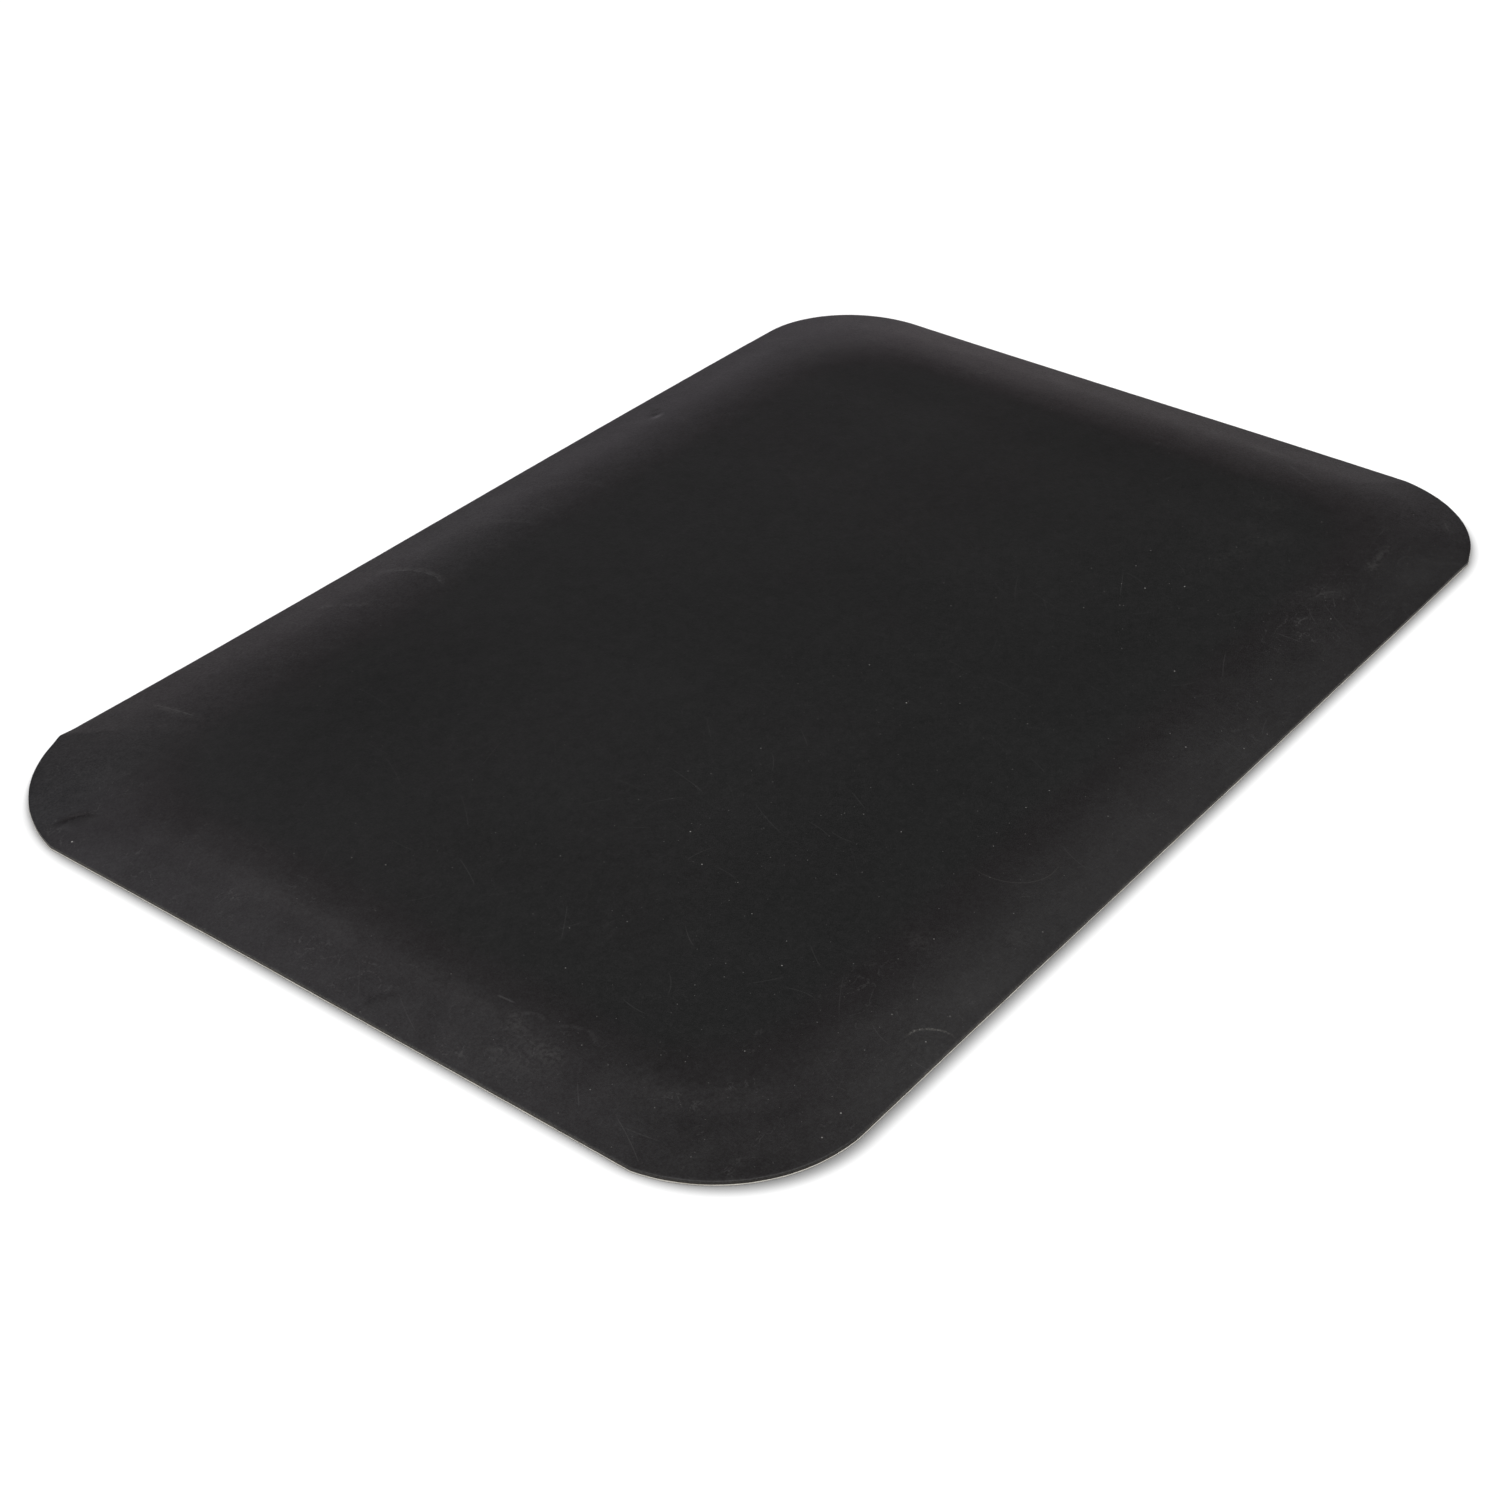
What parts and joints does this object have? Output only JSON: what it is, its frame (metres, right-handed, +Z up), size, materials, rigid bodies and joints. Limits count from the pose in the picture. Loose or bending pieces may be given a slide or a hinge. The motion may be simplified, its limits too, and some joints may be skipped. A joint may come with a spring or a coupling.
{
  "type": "anti fatigue mat",
  "caption": "Rectangular cushioned standing mat with a bevelled border, die-cut rounded corners and a thin pale backing sheet.",
  "frame": {"origin": "centre of the underside, where the mat rests on the floor", "axes": "+X along the length, +Y across the width, +Z up through the thickness"},
  "size_m": [0.9144, 0.6096, 0.0095],
  "materials": {
    "wear_sheet": "black solid vinyl, fine matt grain with a low sheen, lightly scuffed and dusty",
    "foam": "black closed-cell foam, matt",
    "bond_film": "dried contact adhesive, satin",
    "backing": "pale grey-beige sheet with a fine non-slip grain, matt"
  },
  "bodies": {
    "root": {"wear_sheet": "wear_sheet", "upper_bond": "bond_film", "cushion_core": "foam", "lower_bond": "bond_film", "backing_sheet": "backing"}
  },
  "joints": []
}
